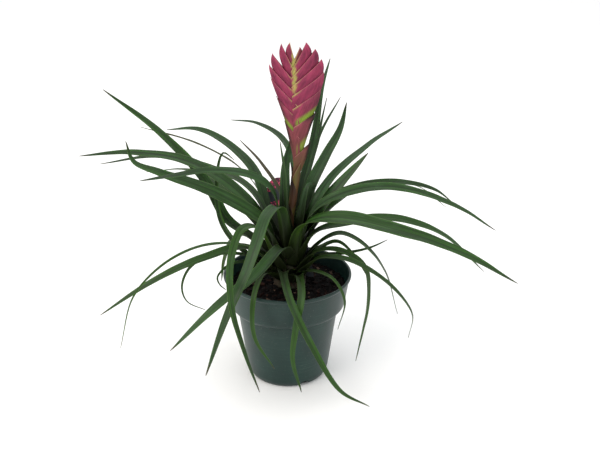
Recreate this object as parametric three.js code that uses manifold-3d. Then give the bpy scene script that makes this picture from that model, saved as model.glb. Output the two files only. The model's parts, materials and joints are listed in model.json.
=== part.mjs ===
// Pink quill plant in a round nursery pot, in millimetres, +Z up.
// The origin is the centre of the pot's underside, where it rests. -Y is the plant's front.
//
// The pot is a thin moulded shell with a flared collar and four drainage notches. It holds a plug of
// potting mix. A short crown is rooted in the mix, and every leaf is its own strap, seated on the crown.
// A scape rises from the crown and carries the flower spike: two ranks of folded bracts, in one flat paddle.
// A plastic plant label leans in the mix behind the crown.

import * as THREE from "three";
import { mergeVertices } from "three/addons/utils/BufferGeometryUtils.js";
import Module from "manifold-3d";

// ---------------------------------------------------------------- driving dimensions
const GAP = 0.3; // free space kept between pieces that touch

const POT_HEIGHT = 95;
const POT_WALL = 1.2;
const LIP_RADIUS = 55;
const LIP_HEIGHT = 2.2;
const COLLAR_TOP_RADIUS = 54;
const COLLAR_FOOT_RADIUS = 49.5;
const COLLAR_FOOT_HEIGHT = 68;
const BODY_TOP_RADIUS = 43.5;
const BODY_TOP_HEIGHT = 63;
const BASE_RADIUS = 35;
const BASE_CORNER = 5;
const POT_SIDES = 44;

const DRAIN_COUNT = 4;
const DRAIN_FIRST_ANGLE = -64; // degrees from +X
const DRAIN_WIDTH = 10;
const DRAIN_HEIGHT = 5;

const SOIL_EDGE_HEIGHT = 82;
const SOIL_MIDDLE_HEIGHT = 84;

const PLANT_X = 2; // the crown stands a little off the pot's axis
const ROOT_FOOT = 64;
const ROOT_RADIUS = 6;
const CROWN_FOOT = 84.8;
const CROWN_FOOT_RADIUS = 12.5;
const CROWN_TOP = 130;
const CROWN_TOP_RADIUS = 5;

const LEAF_STEPS = 20;
const LEAF_THICKNESS = 0.9;
const LEAF_SEAT_GAP = 1.2;
const LEAF_FOOT_SHARE = 0.38; // width at the seat, as a share of the full width
const LEAF_TIP_WIDTH = 0.9;

const SCAPE_FOOT_RADIUS = 2.8;
const RACHIS_RADIUS = 1.1;
const RACHIS_X = 7.5; // the spike's own upright axis
const SPIKE_FOOT = 168;
const SPIKE_END = 264;

const BRACT_THICKNESS = 0.4;
const BRACT_FLARE = 0.24; // how fast the two sides of a folded bract part from its keel
const BRACT_KEEL_HALF = 0.3;

// ---------------------------------------------------------------- materials
const finish = (color, roughness) =>
  new THREE.MeshStandardMaterial({ color, roughness, metalness: 0 });
const POT_PLASTIC = finish(0x3c5550, 0.5);
const POTTING_MIX = finish(0x2a1c18, 1.0);
const CROWN_GREEN = finish(0x4c5a2c, 0.7);
const LEAF_GREEN = finish(0x2f5a30, 0.55);
const SCAPE_BROWN = finish(0x6a5236, 0.7);
const BRACT_PINK = finish(0xa93f62, 0.55);
const LABEL_PLASTIC = finish(0xe0567a, 0.4);

// ---------------------------------------------------------------- helpers
const wasm = await Module();
wasm.setup();
const plant = new THREE.Group();

function add(name, geometry, material) {
  const mesh = new THREE.Mesh(geometry, material);
  mesh.name = name;
  plant.add(mesh);
  return mesh;
}

const radians = THREE.MathUtils.degToRad;
const ease = THREE.MathUtils.smoothstep;
const mix = THREE.MathUtils.lerp;

// A round solid about +Z from a profile of [radius, height] points that starts and ends on the axis.
function turned(profile, sides) {
  const points = profile.map(([r, z]) => new THREE.Vector2(r, z));
  return new THREE.LatheGeometry(points, sides).rotateX(Math.PI / 2);
}

function solidOf(geometry) {
  const bare = new THREE.BufferGeometry();
  bare.setAttribute("position", geometry.getAttribute("position"));
  bare.setIndex(geometry.getIndex());
  const merged = mergeVertices(bare, 1e-3);
  const mesh = new wasm.Mesh({
    numProp: 3,
    vertProperties: new Float32Array(merged.getAttribute("position").array),
    triVerts: new Uint32Array(merged.getIndex().array),
  });
  return new wasm.Manifold(mesh);
}

function geometryOf(solid) {
  const mesh = solid.getMesh();
  return new THREE.BufferGeometry()
    .setAttribute("position", new THREE.BufferAttribute(mesh.vertProperties, 3))
    .setIndex(new THREE.BufferAttribute(mesh.triVerts, 1));
}

// Bends a box's vertices: place(across -1..1, through 0..1, along 0..1) gives each one's point.
function bentBox(across, along, place) {
  const box = new THREE.BoxGeometry(2, 1, 1, across, 1, along);
  const at = box.getAttribute("position");
  for (let i = 0; i < at.count; i++) {
    const point = place(at.getX(i), at.getY(i) + 0.5, at.getZ(i) + 0.5);
    at.setXYZ(i, point.x, point.y, point.z);
  }
  return box;
}

// ---------------------------------------------------------------- pot and potting mix
// The outside of the pot's wall from its corner up to the collar, as [radius, height].
const potOutside = [
  [BASE_RADIUS - BASE_CORNER, 0],
  [BASE_RADIUS - BASE_CORNER * 0.3, BASE_CORNER * 0.3],
  [BASE_RADIUS + 0.6, BASE_CORNER],
  [BODY_TOP_RADIUS, BODY_TOP_HEIGHT],
  [COLLAR_FOOT_RADIUS - 1.6, COLLAR_FOOT_HEIGHT - 2.4],
  [COLLAR_FOOT_RADIUS, COLLAR_FOOT_HEIGHT],
  [COLLAR_TOP_RADIUS, POT_HEIGHT - LIP_HEIGHT],
];
// The inside follows it one wall thickness in, and stops at the floor of the pot.
const potInside = [
  [BASE_RADIUS - BASE_CORNER - 0.4, POT_WALL],
  [BASE_RADIUS - BASE_CORNER * 0.3 - POT_WALL, BASE_CORNER * 0.3 + POT_WALL * 0.7],
  [BASE_RADIUS + 0.6 - POT_WALL, BASE_CORNER + POT_WALL * 0.4],
  [BODY_TOP_RADIUS - POT_WALL, BODY_TOP_HEIGHT + POT_WALL * 0.6],
  [COLLAR_FOOT_RADIUS - 1.6 - POT_WALL, COLLAR_FOOT_HEIGHT - 2.4 + POT_WALL * 0.6],
  [COLLAR_FOOT_RADIUS - POT_WALL, COLLAR_FOOT_HEIGHT + POT_WALL * 0.4],
  [COLLAR_TOP_RADIUS - POT_WALL, POT_HEIGHT - LIP_HEIGHT],
];

function potShell() {
  const lip = [
    [LIP_RADIUS, POT_HEIGHT - LIP_HEIGHT + 0.5],
    [LIP_RADIUS, POT_HEIGHT - 0.5],
    [LIP_RADIUS - 0.6, POT_HEIGHT],
    [COLLAR_TOP_RADIUS - POT_WALL, POT_HEIGHT],
  ];
  const profile = [[0, 0], ...potOutside, ...lip, ...potInside.toReversed(), [0, POT_WALL]];
  return turned(profile, POT_SIDES);
}

function drainNotch(angle) {
  const notch = new THREE.CylinderGeometry(DRAIN_WIDTH / 2, DRAIN_WIDTH / 2, 16, 16);
  notch.scale(1, 1, (2 * DRAIN_HEIGHT) / DRAIN_WIDTH);
  notch.rotateZ(Math.PI / 2);
  notch.translate(BASE_RADIUS + 3, 0, 0);
  return notch.rotateZ(radians(angle));
}

function pot() {
  let shell = solidOf(potShell());
  for (let i = 0; i < DRAIN_COUNT; i++) {
    const angle = DRAIN_FIRST_ANGLE + (360 / DRAIN_COUNT) * i;
    shell = shell.subtract(solidOf(drainNotch(angle)));
  }
  return geometryOf(shell);
}


function pottingMix() {
  const wall = potInside
    .filter(([, z]) => z < SOIL_EDGE_HEIGHT)
    .map(([r, z]) => [r - GAP, z + GAP]);
  const collarLean =
    (COLLAR_TOP_RADIUS - COLLAR_FOOT_RADIUS) / (POT_HEIGHT - LIP_HEIGHT - COLLAR_FOOT_HEIGHT);
  const edgeRadius =
    COLLAR_FOOT_RADIUS + (SOIL_EDGE_HEIGHT - COLLAR_FOOT_HEIGHT) * collarLean - POT_WALL - 2 * GAP;
  const well = ROOT_RADIUS + GAP;
  const profile = [
    [0, POT_WALL + GAP],
    ...wall,
    [edgeRadius, SOIL_EDGE_HEIGHT],
    [edgeRadius - 6, SOIL_EDGE_HEIGHT + 0.6],
    [22, SOIL_MIDDLE_HEIGHT],
    [well + PLANT_X, SOIL_MIDDLE_HEIGHT],
    [0, SOIL_MIDDLE_HEIGHT],
  ];
  const root = new THREE.CylinderGeometry(well, well, 40, 20).rotateX(Math.PI / 2);
  root.translate(PLANT_X, 0, ROOT_FOOT - GAP + 20);
  return geometryOf(
    solidOf(turned(profile, POT_SIDES)).subtract(solidOf(root)).subtract(solidOf(labelPlate(GAP))),
  );
}

// ---------------------------------------------------------------- plant label
const LABEL_WIDTH = 24;
const LABEL_THICKNESS = 0.8;
const LABEL_LENGTH = 113;
const LABEL_TAPER = 62; // length of the stake, which narrows towards its foot
const LABEL_FOOT_WIDTH = 5;
const LABEL_TOP = new THREE.Vector3(-7.7, 46, 163.8);
const LABEL_LEAN = new THREE.Vector3(-16, 18, 44).normalize();

// The label, or with grow over 0 the slot that it stands in.
function labelPlate(grow) {
  const half = LABEL_WIDTH / 2 + grow;
  const foot = LABEL_FOOT_WIDTH / 2 + grow;
  const outline = new THREE.Shape();
  outline.moveTo(-foot, -LABEL_LENGTH - grow);
  outline.lineTo(foot, -LABEL_LENGTH - grow);
  outline.lineTo(half, -LABEL_LENGTH + LABEL_TAPER);
  outline.lineTo(half, -half);
  outline.absarc(0, -half, half, 0, Math.PI, false);
  outline.lineTo(-half, -LABEL_LENGTH + LABEL_TAPER);
  outline.closePath();
  const depth = LABEL_THICKNESS + 2 * grow;
  const plate = new THREE.ExtrudeGeometry(outline, { depth, bevelEnabled: false, curveSegments: 8 });
  plate.translate(0, 0, -depth / 2);
  const back = new THREE.Vector3(0, -1, 0).projectOnPlane(LABEL_LEAN).normalize();
  const sideways = new THREE.Vector3().crossVectors(LABEL_LEAN, back);
  plate.applyMatrix4(new THREE.Matrix4().makeBasis(sideways, LABEL_LEAN, back));
  return plate.translate(LABEL_TOP.x, LABEL_TOP.y, LABEL_TOP.z);
}

// ---------------------------------------------------------------- crown and leaves
const crownRadius = (z) =>
  mix(CROWN_FOOT_RADIUS, CROWN_TOP_RADIUS, (z - CROWN_FOOT) / (CROWN_TOP - CROWN_FOOT));

function crown() {
  const profile = [
    [0, ROOT_FOOT],
    [ROOT_RADIUS * 0.6, ROOT_FOOT],
    [ROOT_RADIUS, ROOT_FOOT + 5],
    [ROOT_RADIUS, CROWN_FOOT - 0.3],
    [CROWN_FOOT_RADIUS, CROWN_FOOT],
    [CROWN_TOP_RADIUS, CROWN_TOP],
    [0, CROWN_TOP],
  ];
  return turned(profile, 18).translate(PLANT_X, 0, 0);
}

// Where a leaf is seated: on the crown at that height, towards its first route point.
function seatPoint(height, towards) {
  const out = new THREE.Vector3(towards.x - PLANT_X, towards.y, 0).setLength(
    crownRadius(height) + LEAF_SEAT_GAP,
  );
  return out.add(new THREE.Vector3(PLANT_X, 0, height));
}

// Blade width along the leaf: narrow at its seat, full by a fifth of its length, then drawn out to the tip.
function bladeWidth(width, t) {
  const opening = mix(LEAF_FOOT_SHARE, 1, ease(t, 0, 0.22));
  return LEAF_TIP_WIDTH + (width - LEAF_TIP_WIDTH) * opening * (1 - t ** 2.4) ** 0.85;
}

// One strap leaf along its route. roll turns its upper face about its own length, in degrees.
function leaf({ seat, width, roll = 0, route }) {
  const points = route.map(([x, y, z]) => new THREE.Vector3(x, y, z));
  const line = new THREE.CatmullRomCurve3([seatPoint(seat, points[0]), ...points], false, "centripetal");
  const frames = [];
  let side = new THREE.Vector3(-(points[0].y), points[0].x - PLANT_X, 0).normalize();
  for (let i = 0; i <= LEAF_STEPS; i++) {
    const t = i / LEAF_STEPS;
    const along = line.getTangentAt(t);
    side = side.clone().projectOnPlane(along).normalize();
    const turn = radians(roll) * ease(t, 0.05, 0.4);
    const across = side.clone().applyAxisAngle(along, turn);
    const up = new THREE.Vector3().crossVectors(along, across).negate();
    frames.push({ centre: line.getPointAt(t), across, up });
  }
  return bentBox(2, LEAF_STEPS, (across, through, t) => {
    const frame = frames[Math.round(t * LEAF_STEPS)];
    const half = bladeWidth(width, t) / 2;
    const channel = mix(0.38, 0.12, t) * half * Math.abs(across);
    const thickness = LEAF_THICKNESS * (1 - 0.45 * Math.abs(across)) * mix(1, 0.6, t);
    return frame.centre
      .clone()
      .addScaledVector(frame.across, -half * across)
      .addScaledVector(frame.up, channel + thickness * (through - 0.5));
  });
}

// Each leaf's seat height on the crown, full width, roll and the points that its midrib passes through.
const leaves = {
  leaf_left_high: {
    seat: 104,
    width: 10,
    roll: -30,
    route: [[-30, 12, 120], [-53, 24, 134], [-72, 40, 164], [-111, 54, 203], [-159, 62, 239]],
  },
  leaf_left_whip: {
    seat: 94,
    width: 5,
    roll: -70,
    route: [[-34, -4, 113], [-56, 10, 137], [-60, 24, 172], [-54, 28, 193], [-45, 27, 187]],
  },
  leaf_back_left_thin: {
    seat: 110,
    width: 4,
    roll: 10,
    route: [[-22, 34, 150], [-43, 66, 166], [-88, 105, 178], [-143, 135, 184]],
  },
  leaf_back_left_arch: {
    seat: 119,
    width: 9,
    roll: -30,
    route: [[-17, 22, 142], [-27, 38, 170], [-48, 60, 187], [-80, 84, 197], [-113, 103, 191]],
  },
  leaf_left_long: {
    seat: 108,
    width: 11,
    roll: -40,
    route: [[-21, 3, 142], [-48, 12, 170], [-85, 22, 188], [-134, 29, 193], [-178, 34, 188]],
  },
  leaf_left_long_behind: {
    seat: 113,
    width: 9,
    roll: -35,
    route: [[-19, 6, 148], [-32, 18, 165], [-60, 30, 177], [-109, 36, 187], [-162, 40, 179]],
  },
  leaf_left_wide: {
    seat: 103,
    width: 13,
    roll: -62,
    route: [[-18, -8, 142], [-55, -8, 169], [-103, -3, 186], [-125, 2, 194], [-131, 6, 210]],
  },
  leaf_left_arch: {
    seat: 120,
    width: 8,
    roll: -62,
    route: [[-12, -12, 174], [-29, -22, 191], [-59, -28, 197], [-84, -30, 194], [-115, -28, 188]],
  },
  leaf_back_left_straight: {
    seat: 121,
    width: 4,
    route: [[-3, 12, 156], [-22, 35, 181], [-42, 58, 195]],
  },
  leaf_back_arch: {
    seat: 124,
    width: 7,
    route: [[6, 42, 177], [-5, 66, 194], [-28, 90, 201], [-54, 108, 199]],
  },
  leaf_upright_narrow: {
    seat: 126,
    width: 4,
    route: [[-1, -8, 164], [-2, -9, 190], [-5, -9, 214]],
  },
  leaf_upright_left: {
    seat: 122,
    width: 10,
    roll: -48,
    route: [[-2, 3, 164], [-1, 9, 189], [6, 18, 216]],
  },
  leaf_upright_tall: {
    seat: 127,
    width: 8,
    roll: 20,
    route: [[13, 17, 168], [23, 29, 208], [29, 41, 245], [36, 51, 268]],
  },
  leaf_upright_thin: {
    seat: 123,
    width: 4,
    roll: 15,
    route: [[17, 26, 171], [28, 48, 203], [46, 67, 231]],
  },
  leaf_right_upright: {
    seat: 124,
    width: 11,
    roll: 44,
    route: [[19, 6, 169], [32, 13, 195], [44, 19, 217], [49, 22, 238]],
  },
  leaf_right_high: {
    seat: 120,
    width: 9,
    roll: 32,
    route: [[23, -2, 158], [36, 9, 176], [67, 28, 199], [98, 42, 216]],
  },
  leaf_right_short: {
    seat: 117,
    width: 11,
    roll: 52,
    route: [[26, -2, 153], [41, 5, 170], [54, 9, 184], [67, 12, 198]],
  },
  leaf_right_arch_behind: {
    seat: 114,
    width: 8,
    roll: 35,
    route: [[26, 11, 149], [53, 18, 164], [93, 28, 167], [127, 34, 158], [145, 38, 144]],
  },
  leaf_right_arch: {
    seat: 112,
    width: 9,
    roll: 62,
    route: [[23, -12.6, 157], [47, -12, 172], [88, -4, 174], [139, 2, 156], [177, 6, 131]],
  },
  leaf_right_wide: {
    seat: 104,
    width: 13,
    roll: 37,
    route: [[15, -20, 147], [43, -29, 157], [95, -40, 149], [138, -46, 135], [184, -52, 110]],
  },
  leaf_right_wide_behind: {
    seat: 102,
    width: 9,
    roll: 40,
    route: [[22, -8, 133], [52, -11, 146], [86, -12, 150], [128, -12, 136], [166, -12, 101]],
  },
  leaf_right_low_arch: {
    seat: 97,
    width: 6,
    roll: 30,
    route: [[26, -6, 123], [44, -5, 133], [65, -4, 122], [83, -4, 98], [96, -4, 56]],
  },
  leaf_right_hanging: {
    seat: 94,
    width: 6,
    roll: 62,
    route: [[24, -13, 119], [44, -13, 121], [65, -14, 106], [69, -14, 75], [60, -14, 14]],
  },
  leaf_right_trailing: {
    seat: 91,
    width: 6,
    roll: 30,
    route: [[27, -22, 118], [53, -27, 118], [86, -33, 98], [104, -36, 73], [102, -36, 51]],
  },
  leaf_front_right_thin: {
    seat: 89,
    width: 4,
    roll: 15,
    route: [[17, -26, 108], [37, -39, 108], [47, -45, 91], [42, -45, 64]],
  },
  leaf_front_long: {
    seat: 96,
    width: 6.5,
    route: [[-3, -32, 109], [3, -60, 99], [20, -84, 72], [41, -109, 48], [62, -130, 48]],
  },
  leaf_front_hanging: {
    seat: 90,
    width: 6.5,
    route: [[10, -34, 107], [12, -55, 100], [7, -68, 75], [5, -71, 51], [12, -75, 23]],
  },
  leaf_front_left_thin: {
    seat: 91,
    width: 5,
    route: [[-19, -32, 108], [-26, -52, 98], [-26, -62, 68], [-10, -64, 38]],
  },
  leaf_front_left_straight: {
    seat: 111,
    width: 10,
    roll: -15,
    route: [[-5, -34, 132], [-26, -60, 120], [-53, -80, 105], [-88, -98, 76]],
  },
  leaf_front_left_folded: {
    seat: 118,
    width: 12,
    roll: -10,
    route: [[-4, -24, 163], [-19, -49, 160], [-32, -72, 133], [-45, -91, 101], [-60, -112, 63]],
  },
  leaf_front_left_hanging: {
    seat: 97,
    width: 8,
    roll: -20,
    route: [
      [-23, -20, 143], [-35, -40, 152], [-42, -67, 140],
      [-40, -101, 117], [-30, -111, 81], [-20, -110, 47],
    ],
  },
  leaf_left_low_thin: {
    seat: 94,
    width: 3,
    roll: -20,
    route: [[-30, -20, 127], [-65, -40, 138], [-94, -52, 129], [-120, -61, 104], [-134, -64, 58]],
  },
  leaf_left_low_wide: {
    seat: 100,
    width: 10,
    roll: -35,
    route: [[-35, -10, 122], [-68, -22, 119], [-108, -36, 105], [-152, -48, 79]],
  },
  leaf_back_over: {
    seat: 108,
    width: 9,
    route: [[11, 14, 128], [18, 32, 146], [22, 60, 156], [22, 98, 150], [20, 138, 130], [18, 168, 100]],
  },
  leaf_back_right: {
    seat: 111,
    width: 9,
    route: [[24, 16, 143], [42, 46, 150], [62, 90, 136], [78, 126, 125]],
  },
  leaf_back_right_low: {
    seat: 102,
    width: 9,
    route: [[22, 12, 130], [50, 38, 150], [85, 64, 152], [122, 88, 140], [152, 104, 113]],
  },
  leaf_back_left_low: {
    seat: 99,
    width: 9,
    route: [[-19, 17, 121], [-46, 33, 148], [-85, 58, 166], [-132, 84, 156]],
  },
  leaf_back_hanging: {
    seat: 94,
    width: 9,
    route: [[-6, 30, 108], [-12, 60, 112], [-17, 90, 95], [-21, 112, 60], [-23, 118, 30]],
  },
  leaf_back_left_hanging: {
    seat: 90,
    width: 8,
    route: [[-18, 20, 103], [-35, 40, 110], [-51, 66, 97], [-63, 87, 64], [-67, 95, 38]],
  },
};

// ---------------------------------------------------------------- scape and flower spike
// The scape leans from the crown to the spike's axis, then runs up inside the bracts as the rachis.
function scape() {
  const line = new THREE.CatmullRomCurve3(
    [
      [PLANT_X, 0, CROWN_TOP + GAP],
      [PLANT_X + 2, 0, 146],
      [RACHIS_X, 0, SPIKE_FOOT],
      [RACHIS_X, 0, SPIKE_FOOT + 20],
      [RACHIS_X, 0, SPIKE_END],
    ].map((p) => new THREE.Vector3(...p)),
  );
  const steps = 10;
  const sides = 8;
  const tube = new THREE.CylinderGeometry(1, 1, 1, sides, steps).rotateX(Math.PI / 2);
  const at = tube.getAttribute("position");
  for (let i = 0; i < at.count; i++) {
    const t = at.getZ(i) + 0.5;
    const centre = line.getPointAt(t);
    const radius = mix(SCAPE_FOOT_RADIUS, RACHIS_RADIUS, ease(t, 0.05, 0.28));
    at.setXYZ(i, centre.x + radius * at.getX(i), centre.y + radius * at.getY(i), centre.z);
  }
  return tube;
}

// One bract, folded along its keel around the rachis, with its two sides open towards the spike's axis.
// side is 1 for the right rank and -1 for the left; reach is how far its tip stands from the axis.
function bract({ side, foot, tip, reach }) {
  const along = 6;
  const clear = RACHIS_RADIUS + 2 * GAP + 0.4;
  return bentBox(4, along, (across, through, t) => {
    const share = 0.04 + 0.94 * t;
    const keel = clear + (reach - clear) * share ** 1.2;
    const opened = Math.max(GAP, clear * (1 - share / 0.3));
    const margin = Math.max(opened, reach * (Math.max(share - 0.5, 0) / 0.5) ** 1.3);
    const width = Math.max(keel - margin, 0.5);
    const from = Math.abs(across);
    const out = BRACT_KEEL_HALF * Math.min(1, from * 4) + BRACT_FLARE * width * from;
    const x = keel - width * from + (from < 0.01 ? BRACT_THICKNESS * through : 0);
    const y = Math.sign(Math.round(across * 4)) * (out + BRACT_THICKNESS * through);
    return new THREE.Vector3(RACHIS_X + side * x, -side * y, mix(foot, tip, share));
  });
}

// The bracts of each rank from the lowest up: foot and tip heights, and reach from the axis.
const rightRank = [
  { foot: 178, tip: 211.5, reach: 12 },
  { foot: 192, tip: 236.5, reach: 16.5 },
  { foot: 206, tip: 254.5, reach: 19.8 },
  { foot: 220, tip: 268, reach: 21.8 },
  { foot: 234, tip: 278, reach: 20 },
  { foot: 247, tip: 286, reach: 15 },
  { foot: 259, tip: 291, reach: 8 },
  { foot: 270, tip: 287.5, reach: 3.2 },
];
const leftRank = [
  { foot: 171, tip: 197, reach: 7 },
  { foot: 185, tip: 229, reach: 10 },
  { foot: 199, tip: 249, reach: 15 },
  { foot: 213, tip: 264, reach: 19.8 },
  { foot: 227, tip: 274, reach: 20.8 },
  { foot: 241, tip: 282.5, reach: 18 },
  { foot: 253, tip: 290, reach: 11 },
  { foot: 265, tip: 291, reach: 4.5 },
];

// ---------------------------------------------------------------- assembly
add("pot", pot(), POT_PLASTIC);
add("potting_mix", pottingMix(), POTTING_MIX);
add("plant_label", labelPlate(0), LABEL_PLASTIC);
add("crown", crown(), CROWN_GREEN);
for (const [name, shape] of Object.entries(leaves)) add(name, leaf(shape), LEAF_GREEN);
add("scape", scape(), SCAPE_BROWN);
rightRank.forEach((b, i) => add(`bract_right_${i + 1}`, bract({ side: 1, ...b }), BRACT_PINK));
leftRank.forEach((b, i) => add(`bract_left_${i + 1}`, bract({ side: -1, ...b }), BRACT_PINK));

export default plant;
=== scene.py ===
# %% [markdown]
# # A potted pink quill plant
# This lesson dresses a packed mechanical model in its real looks. The plant is a small bromeliad in a
# round nursery pot: a rosette of arching strap leaves, one flat pink flower spike made of folded bracts,
# and a plastic plant label that leans in the potting mix. Everything is in metres, +Z is up, the origin
# is the centre of the pot's underside, and the plant's front looks along -Y.

import json
import math
import random

import bmesh
import bpy
import numpy as np
from mathutils import Matrix, Vector

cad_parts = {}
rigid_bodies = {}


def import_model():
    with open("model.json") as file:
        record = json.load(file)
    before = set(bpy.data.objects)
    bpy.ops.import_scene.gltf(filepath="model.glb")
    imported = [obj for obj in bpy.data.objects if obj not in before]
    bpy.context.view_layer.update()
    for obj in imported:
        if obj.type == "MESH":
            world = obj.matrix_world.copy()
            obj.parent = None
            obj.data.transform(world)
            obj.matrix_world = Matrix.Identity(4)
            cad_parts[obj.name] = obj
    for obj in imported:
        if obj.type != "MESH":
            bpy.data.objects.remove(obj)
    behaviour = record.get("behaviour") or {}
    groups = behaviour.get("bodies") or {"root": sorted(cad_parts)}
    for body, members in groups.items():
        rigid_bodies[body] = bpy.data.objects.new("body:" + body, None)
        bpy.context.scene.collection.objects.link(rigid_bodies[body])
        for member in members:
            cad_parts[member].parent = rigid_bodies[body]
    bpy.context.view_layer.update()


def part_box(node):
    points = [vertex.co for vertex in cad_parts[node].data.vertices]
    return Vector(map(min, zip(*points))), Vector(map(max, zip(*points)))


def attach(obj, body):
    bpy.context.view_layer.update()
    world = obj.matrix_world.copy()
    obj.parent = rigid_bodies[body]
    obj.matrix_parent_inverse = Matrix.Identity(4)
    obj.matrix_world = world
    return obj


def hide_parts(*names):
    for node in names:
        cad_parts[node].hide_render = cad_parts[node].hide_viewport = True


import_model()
MM = 0.001
scene = bpy.context.scene

# %% Read the sizes that the other pieces are built on
pot_low, pot_high = (Vector(corner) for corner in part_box("pot"))
crown_low, crown_high = (Vector(corner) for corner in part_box("crown"))
LIP_RADIUS = (pot_high.x - pot_low.x) / 2
POT_HEIGHT = pot_high.z
PLANT_X = (crown_low.x + crown_high.x) / 2
CROWN_TOP = crown_high.z
print(f"lip radius {LIP_RADIUS * 1000:.1f} mm, pot {POT_HEIGHT * 1000:.1f} mm tall")
print(f"crown at x {PLANT_X * 1000:.1f} mm")

# %% [markdown]
# ## Helpers
# A few small helpers serve the whole lesson. Colours are written as sRGB hex values, as a paint chart
# gives them, and one function turns them to the linear values that the renderer mixes with. One function
# adds a shader node with its settings and links. One function turns vertex and face lists into a piece
# that rides on the plant's only body, and another stores numbers on its points for a material to read.


# %% Colour, node and piece helpers
def paint(hex_value):
    """An sRGB hex colour as linear RGBA."""
    channels = [int(hex_value[i : i + 2], 16) / 255 for i in (1, 3, 5)]
    linear = [c / 12.92 if c <= 0.04045 else ((c + 0.055) / 1.055) ** 2.4 for c in channels]
    return (*linear, 1.0)


def new_material(name):
    """An empty material and its node tree."""
    material = bpy.data.materials.new(name)
    material.use_nodes = True
    material.node_tree.nodes.clear()
    return material, material.node_tree


def node(tree, kind, inputs=(), stops=(), **settings):
    """Adds a node. settings are its properties, and stops the places and colours of its ramp. inputs maps
    a socket to a value, to one output of another node, or to a node, which then gives its first output."""
    made = tree.nodes.new("ShaderNode" + kind)
    for key, value in settings.items():
        setattr(made, key, value)
    for index, (at, tint) in enumerate(stops):
        ramp = made.color_ramp.elements
        stop = ramp[index] if index < 2 else ramp.new(at)
        stop.position, stop.color = at, paint(tint)
    for socket, value in dict(inputs).items():
        if isinstance(value, bpy.types.Node):
            value = next(output for output in value.outputs if output.enabled)
        if isinstance(value, bpy.types.NodeSocket):
            tree.links.new(value, made.inputs[socket])
        else:
            made.inputs[socket].default_value = value
    return made


SHADING = {"data_type": "RGBA", "blend_type": "MULTIPLY"}  # a Mix node that darkens one colour by another


def piece(name, verts, faces, material, replaces=(), smooth=True):
    """A mesh piece that rides on the root body."""
    mesh = bpy.data.meshes.new(name)
    mesh.from_pydata([tuple(v) for v in verts], [], [tuple(f) for f in faces])
    mesh.validate()
    mesh.update()
    obj = bpy.data.objects.new(name, mesh)
    scene.collection.objects.link(obj)
    mesh.materials.append(material)
    if smooth:
        mesh.shade_smooth()
    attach(obj, "root")
    if replaces:
        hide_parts(*replaces)
    return obj


def point_values(obj, name, values):
    """Stores one number, or one vector, for each vertex, where a material can read it."""
    values = np.asarray(values, dtype=np.float32)
    kind, key = ("FLOAT", "value") if values.ndim == 1 else ("FLOAT_VECTOR", "vector")
    layer = obj.data.attributes.new(name, kind, "POINT")
    layer.data.foreach_set(key, values.ravel())


print("helpers ready")

# %% [markdown]
# ## Camera, light and floor
# The plant is looked down on from about 23 degrees, from seven tenths of a metre away. A 50 mm lens at
# that distance keeps the pot's taper gentle. Light comes from one wide panel high on the left, a weaker
# one on the right and a pale sky, so that shadows stay soft, as in a light tent. The floor is a white
# sweep that isn't part of the plant.

# %% Place the camera
CAMERA_TILT = math.radians(23)
CAMERA_DISTANCE = 0.70
AIM = Vector((0.0108, 0.0, 0.1385))

camera_data = bpy.data.cameras.new("camera")
camera_data.lens = 50
camera_data.sensor_width = 36
camera = bpy.data.objects.new("camera", camera_data)
camera.location = AIM + CAMERA_DISTANCE * Vector((0, -math.cos(CAMERA_TILT), math.sin(CAMERA_TILT)))
camera.rotation_euler = (math.pi / 2 - CAMERA_TILT, 0, 0)
scene.collection.objects.link(camera)
scene.camera = camera
print("camera at", [round(c, 3) for c in camera.location])


# %% Hang the lights
def light_panel(name, place, size, power, tint):
    """A square softbox that faces the plant."""
    data = bpy.data.lights.new(name, "AREA")
    data.shape = "SQUARE"
    data.size = size
    data.energy = power
    data.color = paint(tint)[:3]
    lamp = bpy.data.objects.new(name, data)
    lamp.location = place
    lamp.rotation_euler = (AIM - Vector(place)).to_track_quat("-Z", "Y").to_euler()
    scene.collection.objects.link(lamp)


light_panel("key_panel", (-0.9, -0.75, 1.15), 0.8, 10, "#fff8ee")
light_panel("fill_panel", (1.1, -0.6, 0.6), 0.9, 1.1, "#eef4ff")
light_panel("top_panel", (0.1, 0.5, 1.5), 1.0, 5, "#ffffff")

world = bpy.data.worlds.new("light_tent")
world.use_nodes = True
sky = world.node_tree.nodes["Background"]
sky.inputs["Color"].default_value = paint("#ffffff")
sky.inputs["Strength"].default_value = 1.0
scene.world = world
scene.view_settings.view_transform = "Standard"

# %% Lay the floor
FLOOR_REACH = 30  # metres, far enough to run out of sight

white_sweep, tree = new_material("white_sweep_paper")
grain = node(tree, "TexNoise", {"Scale": 900.0, "Detail": 2.0})
tone = node(tree, "MapRange", {"Value": grain, "To Min": 0.96, "To Max": 0.985})
paper = node(tree, "BsdfPrincipled", {"Base Color": tone, "Roughness": 0.85})
node(tree, "OutputMaterial", {"Surface": paper})

corners = [(x * FLOOR_REACH, y * FLOOR_REACH, 0) for x, y in ((-1, -1), (1, -1), (1, 1), (-1, 1))]
floor_mesh = bpy.data.meshes.new("floor")
floor_mesh.from_pydata(corners, [], [(0, 1, 2, 3)])
floor_mesh.materials.append(white_sweep)
floor = bpy.data.objects.new("floor", floor_mesh)
scene.collection.objects.link(floor)
print("floor laid")
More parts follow.
